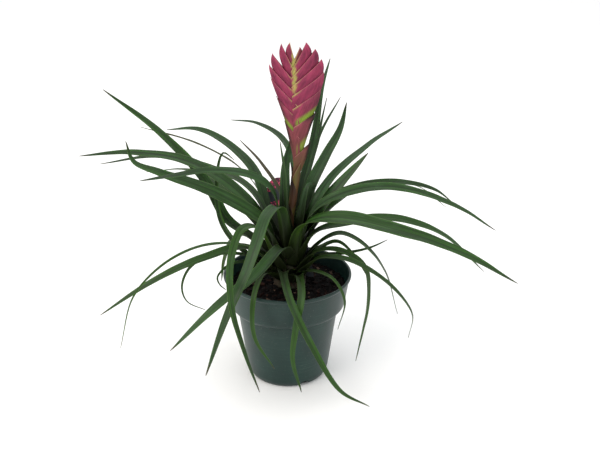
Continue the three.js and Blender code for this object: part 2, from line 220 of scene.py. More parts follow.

# %% [markdown]
# ## Leaf material
# A quill plant's leaf is a leathery strap. Its cuticle is waxy, so it has a satin gloss and an IOR near
# 1.45, and its veins run straight along it, about a third of a millimetre apart. The upper face is deep
# green with a thin grey bloom of water-drinking scales. The underside is a fresher yellow-green. Foot and
# tip brown first; here the foot is also painted darker, as painted shade deep in the rosette. Each blade
# stores where each point is on the strap in millimetres, so the veins follow every bend without any
# unwrapping.


# %% Build the leaf material
def leaf_cuticle():
    material, tree = new_material("leaf_waxy_cuticle")
    strap = node(tree, "Attribute", attribute_name="strap_mm").outputs["Vector"]
    along, under, tone, rim, sheath, age = (
        node(tree, "Attribute", attribute_name=mark).outputs["Fac"]
        for mark in ("along", "under", "tone", "rim", "sheath", "age")
    )

    # Veins: noise squeezed to 0.7 mm across the blade, twice their real spacing so that they show,
    # and drawn out to 60 mm along it.
    lanes = node(tree, "Mapping", {"Vector": strap, "Scale": (1 / 0.7, 1 / 60, 1.0)})
    veins = node(tree, "TexNoise", {"Vector": lanes, "Scale": 1.0, "Detail": 3.0})
    # Wide streaks, about 3 mm by 80 mm, for the slow change from lane to lane.
    broad = node(tree, "Mapping", {"Vector": strap, "Scale": (1 / 3, 1 / 80, 1.0)})
    streaks = node(tree, "TexNoise", {"Vector": broad, "Scale": 1.0, "Detail": 2.0})
    # Bloom: scales lie in soft patches of about 6 mm by 14 mm.
    cloudy = node(tree, "Mapping", {"Vector": strap, "Scale": (1 / 6, 1 / 14, 1.0)})
    bloom = node(tree, "TexNoise", {"Vector": cloudy, "Scale": 1.0, "Detail": 4.0})

    upper = node(tree, "ValToRGB", {"Fac": streaks}, stops=[(0.3, "#1c3216"), (0.72, "#34532a")])
    lower = node(tree, "ValToRGB", {"Fac": streaks}, stops=[(0.3, "#223a16"), (0.72, "#3c5826")])
    scales = node(tree, "MapRange", {"Value": bloom, "From Min": 0.5, "From Max": 0.8, "To Max": 0.25})
    bloomed = node(tree, "Mix", {"Factor": scales, "A": upper, "B": paint("#4f6551")}, data_type="RGBA")
    sides = node(tree, "Mix", {"Factor": under, "A": bloomed, "B": lower}, data_type="RGBA")
    # Low leaves are painted yellower and a little lighter, as painted light shining through them, and the
    # ones at the top of the rosette bluer.
    hue = node(tree, "MapRange", {"Value": tone, "To Min": 0.512, "To Max": 0.478})
    depth = node(tree, "MapRange", {"Value": tone, "To Min": 0.94, "To Max": 1.36})
    light = node(tree, "MapRange", {"Value": tone, "To Min": 0.92, "To Max": 1.0})
    toned = node(tree, "HueSaturation", {"Hue": hue, "Saturation": depth, "Value": light, "Color": sides})

    # The veins shade the blade, and so does a narrow shadow in the crease of the gutter.
    ribbed = {"Value": veins, "From Min": 0.35, "From Max": 0.65, "To Min": 0.7, "To Max": 1.15}
    crossing = node(tree, "SeparateXYZ", {"Vector": strap}).outputs["X"]
    off_middle = node(tree, "Math", {0: crossing}, operation="ABSOLUTE")
    creased = {"Value": off_middle, "From Min": 0.15, "From Max": 0.8, "To Min": 0.72, "To Max": 1.0}
    both = {0: node(tree, "MapRange", ribbed), 1: node(tree, "MapRange", creased)}
    shade = node(tree, "Math", both, operation="MULTIPLY")
    colour = node(tree, "Mix", {"Factor": 1.0, "A": toned, "B": shade}, **SHADING)

    # Over that lie a thin paler line at the margin, the sheath at the foot, painted nearly black for its own
    # darker colour and for painted shade deep in the rosette, and the dry brown tip, whose edge is broken up
    # by the veins.
    rim_share = node(tree, "MapRange", {"Value": rim, "From Min": 0.88, "From Max": 1.0, "To Max": 0.35})
    wander = {"Value": veins, "From Min": 0.3, "From Max": 0.7, "To Min": -0.02, "To Max": 0.02}
    ragged = node(tree, "Math", {0: along, 1: node(tree, "MapRange", wander)}, operation="ADD")
    tip = node(tree, "MapRange", {"Value": ragged, "From Min": 0.95, "From Max": 0.995, "To Max": 0.8})
    dry = node(tree, "Math", {0: tip, 1: age}, operation="MAXIMUM")
    for share, tint in ((rim_share, "#5e7440"), (sheath, "#16190c"), (dry, "#3d3020")):
        colour = node(tree, "Mix", {"Factor": share, "A": colour, "B": paint(tint)}, data_type="RGBA")

    gloss = {"Value": bloom, "From Min": 0.3, "From Max": 0.8, "To Min": 0.38, "To Max": 0.56}
    shader = node(tree, "BsdfPrincipled", {
        "Base Color": colour,
        "Roughness": node(tree, "MapRange", gloss),
        "Normal": node(tree, "Bump", {"Height": veins, "Strength": 0.6, "Distance": 0.14 * MM}),
        "IOR": 1.45,
        "Specular IOR Level": 0.3,
        "Subsurface Weight": 0.05,
        "Subsurface Scale": 0.002,
        "Subsurface Radius": (0.6, 1.0, 0.3),
    })
    node(tree, "OutputMaterial", {"Surface": shader})
    return material


leaf_material = leaf_cuticle()
print("material:", leaf_material.name, "with", len(leaf_material.node_tree.nodes), "nodes")

# %% [markdown]
# ## The leaves' routes
# Each leaf leaves the crown at its own height, climbs, arches over and narrows to a point. A leaf could be
# a bent plane with thickness added by a modifier, but then its gutter and its thin margin would be lost.
# Here each midrib is a smooth curve through a few points, in millimetres, and the blade is lofted along
# it as a closed strap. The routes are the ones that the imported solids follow, with two exceptions. The
# folded leaf at the front is straightened by a few millimetres. Nine leaves differ from their solids by 1
# to 2.5 mm in width. Five roll further: three of those solids would cross themselves if they rolled so far.

# %% Write down the routes
# name: seat height on the crown, full width, roll in degrees, points of the midrib
LEAVES = {
    "leaf_left_high": (104, 10, -30,
        [(-30, 12, 120), (-53, 24, 134), (-72, 40, 164), (-111, 54, 203), (-159, 62, 239)]),
    "leaf_left_whip": (94, 5, -70,
        [(-34, -4, 113), (-56, 10, 137), (-60, 24, 172), (-54, 28, 193), (-45, 27, 187)]),
    "leaf_back_left_thin": (110, 5, 60,
        [(-22, 34, 150), (-43, 66, 166), (-88, 105, 178), (-143, 135, 184)]),
    "leaf_back_left_arch": (119, 9, -30,
        [(-17, 22, 142), (-27, 38, 170), (-48, 60, 187), (-80, 84, 197), (-113, 103, 191)]),
    "leaf_left_long": (108, 11, -40,
        [(-21, 3, 142), (-48, 12, 170), (-85, 22, 188), (-134, 29, 193), (-178, 34, 188)]),
    "leaf_left_long_behind": (113, 7.5, -35,
        [(-19, 6, 148), (-32, 18, 165), (-60, 30, 177), (-109, 36, 187), (-162, 40, 179)]),
    "leaf_left_wide": (103, 12, -62,
        [(-18, -8, 142), (-55, -8, 169), (-103, -3, 186), (-125, 2, 194), (-131, 6, 210)]),
    "leaf_left_arch": (120, 8, -62,
        [(-12, -12, 174), (-29, -22, 191), (-59, -28, 197), (-84, -30, 194), (-115, -28, 188)]),
    "leaf_back_left_straight": (121, 4, 0, [(-3, 12, 156), (-22, 35, 181), (-42, 58, 195)]),
    "leaf_back_arch": (124, 7, 0, [(6, 42, 177), (-5, 66, 194), (-28, 90, 201), (-54, 108, 199)]),
    "leaf_upright_narrow": (126, 4, 0, [(-1, -8, 164), (-2, -9, 190), (-5, -9, 214)]),
    "leaf_upright_left": (122, 10, -48, [(-2, 3, 164), (-1, 9, 189), (6, 18, 216)]),
    "leaf_upright_tall": (127, 8, 20, [(13, 17, 168), (23, 29, 208), (29, 41, 245), (36, 51, 268)]),
    "leaf_upright_thin": (123, 4, 15, [(17, 26, 171), (28, 48, 203), (46, 67, 231)]),
    "leaf_right_upright": (124, 11, 44, [(19, 6, 169), (32, 13, 195), (44, 19, 217), (49, 22, 238)]),
    "leaf_right_high": (120, 10, 50, [(23, -2, 158), (36, 9, 176), (67, 28, 199), (98, 42, 216)]),
    "leaf_right_short": (117, 12, 60, [(26, -2, 153), (41, 5, 170), (54, 9, 184), (67, 12, 198)]),
    "leaf_right_arch_behind": (114, 8, 35,
        [(26, 11, 149), (53, 18, 164), (93, 28, 167), (127, 34, 158), (145, 38, 144)]),
    "leaf_right_arch": (112, 9, 70,
        [(23, -12.6, 157), (47, -12, 172), (88, -4, 174), (139, 2, 156), (177, 6, 131)]),
    "leaf_right_wide": (104, 14, 62,
        [(15, -20, 147), (43, -29, 157), (95, -40, 149), (138, -46, 135), (184, -52, 110)]),
    "leaf_right_wide_behind": (102, 9, 40,
        [(22, -8, 133), (52, -11, 146), (86, -12, 150), (128, -12, 136), (166, -12, 101)]),
    "leaf_right_low_arch": (97, 6, 30,
        [(26, -6, 123), (44, -5, 133), (65, -4, 122), (83, -4, 98), (96, -4, 56)]),
    "leaf_right_hanging": (94, 6, 62,
        [(24, -13, 119), (44, -13, 121), (65, -14, 106), (69, -14, 75), (60, -14, 14)]),
    "leaf_right_trailing": (91, 6, 30,
        [(27, -22, 118), (53, -27, 118), (86, -33, 98), (104, -36, 73), (102, -36, 51)]),
    "leaf_front_right_thin": (89, 4, 15, [(17, -26, 108), (37, -39, 108), (47, -45, 91), (42, -45, 64)]),
    "leaf_front_long": (96, 6.5, 0,
        [(-3, -32, 109), (3, -60, 99), (20, -84, 72), (41, -109, 48), (62, -130, 48)]),
    "leaf_front_hanging": (90, 6.5, 0,
        [(10, -34, 107), (12, -55, 100), (7, -68, 75), (5, -71, 51), (12, -75, 23)]),
    "leaf_front_left_thin": (91, 5, 0, [(-19, -32, 108), (-26, -52, 98), (-26, -62, 68), (-10, -64, 38)]),
    "leaf_front_left_straight": (111, 10, -15,
        [(-5, -34, 132), (-26, -60, 120), (-53, -80, 105), (-88, -98, 76)]),
    "leaf_front_left_folded": (118, 10.5, -10,
        [(-6.5, -24, 163.5), (-15, -42, 164.5), (-22.5, -60, 149), (-30, -73, 131), (-45, -91, 101),
         (-60, -112, 63)]),
    "leaf_front_left_hanging": (97, 6.8, -20,
        [(-23, -20, 143), (-35, -40, 152), (-42, -67, 140), (-40, -101, 117), (-30, -111, 81),
         (-20, -110, 47)]),
    "leaf_left_low_thin": (94, 3, -20,
        [(-30, -20, 127), (-65, -40, 138), (-94, -52, 129), (-120, -61, 104), (-134, -64, 58)]),
    "leaf_left_low_wide": (100, 7.5, -35,
        [(-35, -10, 122), (-68, -22, 119), (-108, -36, 105), (-152, -48, 79)]),
    "leaf_back_over": (108, 9, 0,
        [(11, 14, 128), (18, 32, 146), (22, 60, 156), (22, 98, 150), (20, 138, 130), (18, 168, 100)]),
    "leaf_back_right": (111, 9, 0, [(24, 16, 143), (42, 46, 150), (62, 90, 136), (78, 126, 125)]),
    "leaf_back_right_low": (102, 9, 0,
        [(22, 12, 130), (50, 38, 150), (85, 64, 152), (122, 88, 140), (152, 104, 113)]),
    "leaf_back_left_low": (99, 9, 0, [(-19, 17, 121), (-46, 33, 148), (-85, 58, 166), (-132, 84, 156)]),
    "leaf_back_hanging": (94, 9, 0,
        [(-6, 30, 108), (-12, 60, 112), (-17, 90, 95), (-21, 112, 60), (-23, 118, 30)]),
    "leaf_back_left_hanging": (90, 8, 0,
        [(-18, 20, 103), (-35, 40, 110), (-51, 66, 97), (-63, 87, 64), (-67, 95, 38)]),
}
# Small leaves that are too slight to have solids of their own.
SMALL_LEAVES = {
    "small_leaf_right": (97, 4, 50, [(26, -9, 120), (42, -8, 127), (58, -8, 112), (67, -8, 96)]),
    "small_leaf_thin": (95, 3.2, 60, [(26, -2, 110), (52, 0, 113), (71, 0, 118), (85, 0, 125)]),
    "small_leaf_curl": (92, 2.8, -60,
        [(-30, 0, 104), (-46, -8, 107), (-55, -12, 102), (-59, -14, 96), (-57, -15, 90), (-52, -15, 85)]),
    "small_leaf_stub": (124, 8, 75, [(12, -3, 150), (15, -2, 168), (18, 0, 175), (23, 3, 174)]),
    "small_leaf_loop": (93, 3, -60,
        [(-30, -2, 110), (-62, -6, 114), (-82, -10, 104), (-90, -10, 85), (-86, -10, 71), (-71, -10, 63)]),
    "small_leaf_upright": (125, 4, 15,
        [(14, 10, 165), (21, 16, 190), (26, 20, 207), (29, 25, 223), (33, 30, 240)]),
}
print(len(LEAVES), "leaves and", len(SMALL_LEAVES), "small ones")


# %% Follow a midrib
def ease(value, low, high):
    """0 below low, 1 above high, and a smooth step between them."""
    share = np.clip((value - low) / (high - low), 0, 1)
    return share * share * (3 - 2 * share)


def midrib(points, count):
    """Points spaced evenly along a centripetal Catmull-Rom curve, and the curve's length."""
    knots = np.array(points, dtype=float)
    knots = np.vstack([2 * knots[0] - knots[1], knots, 2 * knots[-1] - knots[-2]])
    dense = []
    for p0, p1, p2, p3 in zip(knots, knots[1:], knots[2:], knots[3:]):
        d0, d1, d2 = (np.linalg.norm(b - a) ** 0.5 for a, b in ((p0, p1), (p1, p2), (p2, p3)))
        m1 = ((p1 - p0) / d0 - (p2 - p0) / (d0 + d1) + (p2 - p1) / d1) * d1
        m2 = ((p2 - p1) / d1 - (p3 - p1) / (d1 + d2) + (p3 - p2) / d2) * d1
        for s in np.linspace(0, 1, 30, endpoint=False):
            dense.append(
                p1 + m1 * s + (3 * p2 - 3 * p1 - 2 * m1 - m2) * s**2 + (2 * p1 - 2 * p2 + m1 + m2) * s**3
            )
    dense.append(knots[-2])
    dense = np.array(dense)
    reach = np.concatenate([[0], np.cumsum(np.linalg.norm(np.diff(dense, axis=0), axis=1))])
    even = np.linspace(0, reach[-1], count)
    return np.stack([np.interp(even, reach, dense[:, k]) for k in range(3)], axis=1), reach[-1]


CROWN_BASE, CROWN_BASE_RADIUS, CROWN_TIP_RADIUS = 84.8, 12.5, 5.0  # mm, where it leaves the mix
SEAT_GAP = 1.2  # mm from the crown's skin to a leaf's midrib


def crown_radius(height):
    """The crown's radius in millimetres at a height in millimetres."""
    share = (height - CROWN_BASE) / (CROWN_TOP / MM - CROWN_BASE)
    return CROWN_BASE_RADIUS + (CROWN_TIP_RADIUS - CROWN_BASE_RADIUS) * share


def seat_point(height, towards):
    """Where a leaf leaves the crown, on the side that its first route point is on."""
    out = np.array([towards[0] - PLANT_X / MM, towards[1], 0.0])
    out *= (crown_radius(height) + SEAT_GAP) / np.linalg.norm(out)
    return out + np.array([PLANT_X / MM, 0, height])


_, test_length = midrib([seat_point(110, (-21, 3)), (-21, 3, 142), (-48, 12, 170), (-85, 22, 188)], 5)
print(f"a test midrib is {test_length:.0f} mm long")

# %% [markdown]
# ## Lofting a blade
# A blade is widest near its clasping foot, keeps its width for a third of its length, and is then drawn
# out to a needle tip. Across, it is a gutter: deep where it clasps the crown and almost flat at the tip.
# Its middle is 0.9 mm thick and its margin 0.25 mm. The two faces share their margins, so the strap is one


# %% Loft a blade
ROW_STEP = 2.2  # mm between rows of points along a blade
MIDDLE_THICK, MARGIN_THICK = 0.9, 0.28  # mm, at the foot
NEEDLE = 0.5  # mm across the very tip


def blade_width(width, sheath_width, t, reach):
    """Full width in millimetres, at a share t of the leaf's length, reach millimetres from its foot."""
    blade_here = NEEDLE + (width - NEEDLE) * (1 - t**2.6) ** 0.85
    return blade_here + (sheath_width - blade_here) * (1 - float(ease(reach, 3, 34)))


def sum_length(route):
    """The rough length of a route, in millimetres."""
    return 30 + sum(math.dist(a, b) for a, b in zip(route, route[1:]))


def strip_faces(rows, columns, flip=False):
    """Faces of a closed strip: an outer grid of points, then an inner one, joined round their edges."""
    count = rows * columns
    faces = []
    for i in range(rows - 1):
        for j in range(columns - 1):
            a, b = i * columns + j, i * columns + j + 1
            faces.append((a, b, b + columns, a + columns))
            faces.append((count + a, count + a + columns, count + b + columns, count + b))
        first, last = i * columns, i * columns + columns - 1
        faces.append((first, first + columns, count + first + columns, count + first))
        faces.append((last, count + last, count + last + columns, last + columns))
    top = (rows - 1) * columns
    for j in range(columns - 1):
        faces.append((j, count + j, count + j + 1, j + 1))
        faces.append((top + j, top + j + 1, count + top + j + 1, count + top + j))
    return [face[::-1] for face in faces] if flip else faces


def strap_piece(name, outer, inner, columns, marks, material, replaces=(), flip=False):
    """A closed strip from two grids of points, in millimetres. marks holds what the material reads, once
    for each point of a grid, and both grids get the same."""
    faces = strip_faces(len(outer) // columns, columns, flip)
    obj = piece(name, np.vstack([outer, inner]) * MM, faces, material, replaces)
    for key in marks[0]:
        point_values(obj, key, [mark[key] for mark in marks] * 2)
    return obj


def blade(name, seat, width, roll, route, tone, age, seed, replaces):
    """One strap leaf as a closed mesh, with its strap coordinates stored for the material."""
    rng = random.Random(seed)
    rows = max(24, int(sum_length(route) / ROW_STEP))
    line, length = midrib([seat_point(seat, route[0]), *route], rows)
    columns = 13
    sheath_width = 6 + 0.95 * crown_radius(seat) if width > 3.5 else width + 3
    tangents = np.gradient(line, axis=0)
    tangents /= np.linalg.norm(tangents, axis=1)[:, None]
    side = np.array([-route[0][1], route[0][0] - PLANT_X / MM, 0.0])
    phase = [rng.uniform(0, 6.28) for _ in range(6)]
    wave = [rng.uniform(18, 30), rng.uniform(9, 14)]
    upper, lower, marks = [], [], []
    for i, (at, tangent) in enumerate(zip(line, tangents)):
        t = i / (rows - 1)
        reach = length * t
        side = side - tangent * side.dot(tangent)
        side /= np.linalg.norm(side)
        twist = math.radians(5) * math.sin(3.1 * t + phase[4]) * ease(t, 0.1, 0.4)
        turn = math.radians(roll) * ease(t, 0.05, 0.4) + twist
        across = side * math.cos(turn) + np.cross(tangent, side) * math.sin(turn)
        up = np.cross(tangent, across)
        half = blade_width(width, sheath_width, t, reach) / 2
        depth = (0.8 + (0.3 - 0.8) * ease(reach, 6, 70)) * (1 - 0.6 * t)
        for j in range(columns):
            a = -1 + 2 * j / (columns - 1)
            waves = math.sin(reach / wave[0] * 3.1 + phase[0 if a < 0 else 1])
            waves += 0.5 * math.sin(reach / wave[1] * 3.1 + phase[2 if a < 0 else 3])
            ripple = 0.06 * half * abs(a) ** 3 * ease(t, 0.15, 0.4) * waves
            lift = depth * half * (math.sqrt(a * a + 0.03) - 0.173) + ripple
            thick = (MIDDLE_THICK - (MIDDLE_THICK - MARGIN_THICK) * abs(a) ** 1.5) * (1 - 0.5 * t)
            middle = at - across * half * a + up * lift
            upper.append(middle + up * thick / 2)
            lower.append(middle - up * thick / 2)
            marks.append({
                "strap_mm": (half * a, reach, seed * 7.3),
                "along": t,
                "rim": abs(a),
                # The sheath mark darkens the foot: its own darker colour and painted shade deep in the
                # rosette.
                "sheath": 0.9 * (1 - ease(reach, 12, 62)),
                "age": age * ease(t, 0.1, 0.6),
                "tone": tone,
            })
    obj = strap_piece(name, upper, lower, columns, marks, leaf_material, replaces)
    point_values(obj, "under", [0.0] * len(upper) + [1.0] * len(lower))


# These leaves at the back are drying, from the tip down.
DRYING = {"leaf_back_left_thin": 0.55, "leaf_back_left_straight": 0.75, "leaf_left_long_behind": 0.1}
tone_rng = random.Random(11)
for index, (name, (seat, width, roll, route)) in enumerate([*LEAVES.items(), *SMALL_LEAVES.items()]):
    # A leaf's tone is mostly its seat height, so low leaves get the painted light shining through them; a
    # quarter of it differs at random.
    tone = 0.75 * min(1.0, max(0.0, (122 - seat) / 30)) + 0.25 * tone_rng.random()
    stands_for = [name] if name in LEAVES else []
    drying = DRYING.get(name, 0.0)
    blade(name.replace("leaf", "blade"), seat, width, roll, route, tone, drying, index + 1, stands_for)

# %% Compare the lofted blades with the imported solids
worst = 0.0
for name in LEAVES:
    low, high = (Vector(corner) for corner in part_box(name))
    obj = bpy.data.objects[name.replace("leaf_", "blade_")]
    xs = np.array([v.co for v in obj.data.vertices])
    worst = max(worst, np.abs(xs.min(axis=0) - low).max(), np.abs(xs.max(axis=0) - high).max())
print(f"blade boxes stay within {worst * 1000:.1f} mm of their solids")

# %% [markdown]
# ## Crown and dry sheaths
# Under the leaves sits a short woody crown, ringed by the papery sheaths of leaves that have died back.
# A plain cone would look bald there, so a cone with a knobbly skin carries two rings of short, dry,
# torn sheaths that clasp it and stand a little away from it.


# %% Make the dry tissue material
def dry_sheath():
    material, tree = new_material("dry_leaf_sheath")
    place = node(tree, "TexCoord").outputs["Object"]
    # Fibres run up the plant, about 0.8 mm apart and 12 mm long.
    fibres = node(tree, "Mapping", {"Vector": place, "Scale": (1250, 1250, 80)})
    fibre = node(tree, "TexNoise", {"Vector": fibres, "Scale": 1.0, "Detail": 4.0})
    patch = node(tree, "TexNoise", {"Vector": place, "Scale": 120.0, "Detail": 3.0})
    brown = node(tree, "ValToRGB", {"Fac": fibre}, stops=[(0.3, "#1a130c"), (0.7, "#43331f")])
    green = node(tree, "MapRange", {"Value": patch, "From Min": 0.45, "From Max": 0.6, "To Max": 0.7})
    greened = node(tree, "Mix", {"Factor": green, "A": brown, "B": paint("#232d17")}, data_type="RGBA")
    relief = node(tree, "Bump", {"Height": fibre, "Strength": 0.8, "Distance": 0.3 * MM})
    rough = node(tree, "MapRange", {"Value": fibre, "To Min": 0.62, "To Max": 0.85})
    shader = node(tree, "BsdfPrincipled", {"Base Color": greened, "Roughness": rough, "Normal": relief})
    node(tree, "OutputMaterial", {"Surface": shader})
    return material


dry_material = dry_sheath()
print("material:", dry_material.name)


# %% Turn the crown
def lathe_faces(sides, rings):
    """Faces of a turned solid: a point on the axis, rings of points, and another point on the axis."""
    faces = []
    top = 1 + (rings - 1) * sides
    for k in range(sides):
        after = (k + 1) % sides
        faces.append((0, 1 + after, 1 + k))
        for low in range(1, top, sides):
            high = low + sides
            faces.append((low + k, low + after, high + after, high + k))
        faces.append((top + k, top + after, top + sides))
    return faces


def turned(profile, sides, centre_x=0.0, wobble=None):
    """Vertices and faces of a solid of revolution. profile is (radius, height) in mm, from axis to axis."""
    verts = [(centre_x, 0.0, profile[0][1])]
    for r, z in profile[1:-1]:
        for k in range(sides):
            angle = 2 * math.pi * k / sides
            out = r + (wobble(angle, r, z) if wobble else 0.0)
            verts.append((centre_x + out * math.cos(angle), out * math.sin(angle), z))
    verts.append((centre_x, 0.0, profile[-1][1]))
    return [Vector(v) * MM for v in verts], lathe_faces(sides, len(profile) - 2)


def knobbly(angle, radius, height):
    """How far the crown's skin stands out, in millimetres."""
    return 0.25 * math.sin(7 * angle + height * 0.9) * min(radius / 12, 1)


crown_foot = crown_low.z / MM
crown_profile = [(0, crown_foot), (4, crown_foot), (6, crown_foot + 5), (6.2, 84.2), (12.0, 85.0)]
crown_profile += [(crown_radius(z), z) for z in np.linspace(86.5, CROWN_TOP / MM, 26)]
crown_profile += [(0, CROWN_TOP / MM)]
verts, faces = turned(crown_profile, 48, PLANT_X / MM, knobbly)
piece("crown_core", verts, faces, dry_material, ["crown"])
print("crown turned with", len(faces), "faces")


# %% Wrap the dry sheaths round it
def sheath(name, angle, foot, height, spread, lean, seed):
    """A short clasping sheath: a strip bent round the crown, torn to a blunt point."""
    rng = random.Random(seed)
    rows, columns = 12, 11
    outer, inner = [], []
    for i in range(rows):
        v = i / (rows - 1)
        z = foot + height * v
        reach = crown_radius(max(z, 86)) + 1.5 + lean * v * v
        opened = spread * (1 - 0.85 * v**1.6)
        for j in range(columns):
            a = -1 + 2 * j / (columns - 1)
            turn = angle + math.radians(opened) * a
            torn = 1.2 * math.sin(9 * a + seed) * v + rng.uniform(-0.25, 0.25) * v
            for shell, inset in ((outer, 0.0), (inner, 0.35)):
                r = reach - inset + 0.8 * abs(a) * v
                shell.append((PLANT_X / MM + r * math.cos(turn), r * math.sin(turn), z + torn))
    return piece(name, np.array(outer + inner) * MM, strip_faces(rows, columns), dry_material)


sheath_rng = random.Random(5)
for k in range(16):
    ring, step = divmod(k, 8)
    sheath(
        f"dry_sheath_{k + 1}",
        math.radians(45 * step + 22 * ring + sheath_rng.uniform(-8, 8)),
        85.2 + 3.5 * ring,
        sheath_rng.uniform(9, 19),
        sheath_rng.uniform(24, 34),
        sheath_rng.uniform(1.0, 4.5),
        k,
    )
print("dry sheaths: 16")

# %% [markdown]
# ## The flower spike
# The spike is flat because its bracts grow in two ranks, left and right, and each one is folded along a
# keel like a boat. A lower bract clasps the foot of the one above it, and its two sides reach past the
# middle, so that left and right margins cross like a plait. Modelling the paddle as one solid with a
# painted pattern would lose the notched outline, so each bract is its own folded shell.


# %% Build the bract material
def bract_petal():
    material, tree = new_material("bract_waxy_rose")
    strap = node(tree, "Attribute", attribute_name="strap_mm").outputs["Vector"]
    margin, green, brown, pale, old = (
        node(tree, "Attribute", attribute_name=mark).outputs["Fac"]
        for mark in ("margin_mm", "green", "brown", "pale", "old")
    )

    # Veins fan from foot to tip, about 0.9 mm apart, with softer clouds of 3.5 mm by 9 mm.
    lanes = node(tree, "Mapping", {"Vector": strap, "Scale": (1 / 0.9, 1 / 45, 1.0)})
    veins = node(tree, "TexNoise", {"Vector": lanes, "Scale": 1.0, "Detail": 3.0})
    mottle = node(tree, "Mapping", {"Vector": strap, "Scale": (1 / 3.5, 1 / 9, 1.0)})
    clouds = node(tree, "TexNoise", {"Vector": mottle, "Scale": 1.0, "Detail": 4.0})

    # From the bottom up: the rose itself, with painted light for some millimetres below the margin, so that
    # the rest of the bract reads as shaded; dull old tissue; green; the pale middle; the margin as a pale
    # thread;
    # and the dry brown.
    # Painted light: a lighter rose at the margin, gone 5 mm below it, leaving the lower bract darker as
    # shade.
    painted_light_below_margin = {"Value": margin, "From Min": 0.0, "From Max": 5.0, "To Min": 0.4, "To Max": 0.0}
    thread = {"Value": margin, "From Min": 0.0, "From Max": 0.7, "To Min": 0.55, "To Max": 0.0}
    layers = [
        (node(tree, "MapRange", painted_light_below_margin), "#b04a68"),
        (old, "#63452c"),
        (green, "#74892a"),
        (pale, "#a9b052"),
        (node(tree, "MapRange", thread), "#b98078"),
        (brown, "#20110c"),
    ]
    colour = node(tree, "ValToRGB", {"Fac": clouds}, stops=[(0.3, "#661c39"), (0.72, "#92304f")])
    for share, tint in layers:
        colour = node(tree, "Mix", {"Factor": share, "A": colour, "B": paint(tint)}, data_type="RGBA")
    ribbed = {"Value": veins, "From Min": 0.3, "From Max": 0.7, "To Min": 0.78, "To Max": 1.14}
    shade = node(tree, "MapRange", ribbed)
    shader = node(tree, "BsdfPrincipled", {
        "Base Color": node(tree, "Mix", {"Factor": 1.0, "A": colour, "B": shade}, **SHADING),
        "Roughness": node(tree, "MapRange", {"Value": clouds, "To Min": 0.42, "To Max": 0.6}),
        "Normal": node(tree, "Bump", {"Height": veins, "Strength": 0.6, "Distance": 0.14 * MM}),
        "IOR": 1.45,
        "Specular IOR Level": 0.3,
        "Subsurface Weight": 0.06,
        "Subsurface Scale": 0.002,
        "Subsurface Radius": (1.0, 0.4, 0.4),
    })
    node(tree, "OutputMaterial", {"Surface": shader})
    return material


bract_material = bract_petal()
print("material:", bract_material.name, "with", len(bract_material.node_tree.nodes), "nodes")

# %% Write down the bracts
# From the lowest up: foot height, tip height, tip's reach from the solids' axis, height that the margin
# falls from the tip to the middle, how far the tip hooks back in, how round the keel swells; then the
# height of the green above the bract below, and the shares of dry brown tip and dull old colour.
SPIKE_AXIS_X = 7.5
RIGHT_RANK = [
    (178, 211.5, 12.0, 12.5, 0.0, 0.6, 7.0, 1.0, 1.0),
    (192, 236.5, 16.5, 12.5, 0.0, 0.1, 9.0, 1.0, 0.5),
    (206, 254.5, 19.8, 15.5, 0.8, 0.8, 5.0, 0.35, 0.12),
    (218, 268.0, 21.8, 18.5, 2.0, 1.0, 0.0, 0.0, 0.0),
    (231, 278.0, 20.0, 21.0, 4.6, 1.0, 0.0, 0.0, 0.0),
    (242, 286.0, 15.0, 22.0, 5.6, 1.0, 0.0, 0.0, 0.0),
    (250, 291.0, 8.0, 22.0, 6.4, 1.0, 0.0, 0.0, 0.0),
    (262, 287.5, 3.2, 15.0, 3.2, 1.0, 0.0, 0.0, 0.5),
]
LEFT_RANK = [
    (168, 193.0, 4.0, 12.0, 0.0, 0.2, 0.0, 1.0, 1.0),
    (185, 229.0, 9.3, 14.0, 0.0, 0.0, 5.0, 0.8, 0.6),
    (199, 249.0, 15.6, 19.0, 0.0, 0.0, 4.2, 0.6, 0.25),
    (213, 264.0, 19.8, 23.0, 0.3, 0.5, 0.0, 0.1, 0.0),
    (227, 274.0, 20.8, 24.0, 1.2, 1.0, 0.0, 0.0, 0.0),
    (238, 282.5, 18.0, 24.0, 3.6, 1.0, 0.0, 0.0, 0.0),
    (248, 290.0, 11.0, 24.0, 3.6, 1.0, 0.0, 0.0, 0.0),
    (258, 291.0, 4.5, 20.0, 4.4, 1.0, 0.0, 0.0, 0.1),
]
CROSSING = -2.4  # mm that a margin reaches past the middle
FIN = 1.12  # over 1 the free margin is hollow, which makes the tip a fin
NOTHING_BELOW = 99.0  # mm, so far above any bract that no green shows


def spike_axis(z):
    """The spike leans a little: the middle line's x at a height, in millimetres."""
    return 9.1 - (z - 185) * 0.0355 - 0.11 * max(0, 200 - z)


def tip_reach(sign, tip, reach):
    """How far a bract's tip is from the middle line."""
    return max(0.9, sign * (SPIKE_AXIS_X - spike_axis(tip)) + reach)


def margin_height(off_middle, sign, tip, reach, drop):
    """Height of a bract's free margin at a distance from the middle line."""
    share = (off_middle - CROSSING) / (tip_reach(sign, tip, reach) - CROSSING)
    return tip - drop * (1 - min(max(share, 0), 1)) ** (1 / FIN)


print(len(RIGHT_RANK), "bracts on the right,", len(LEFT_RANK), "on the left")


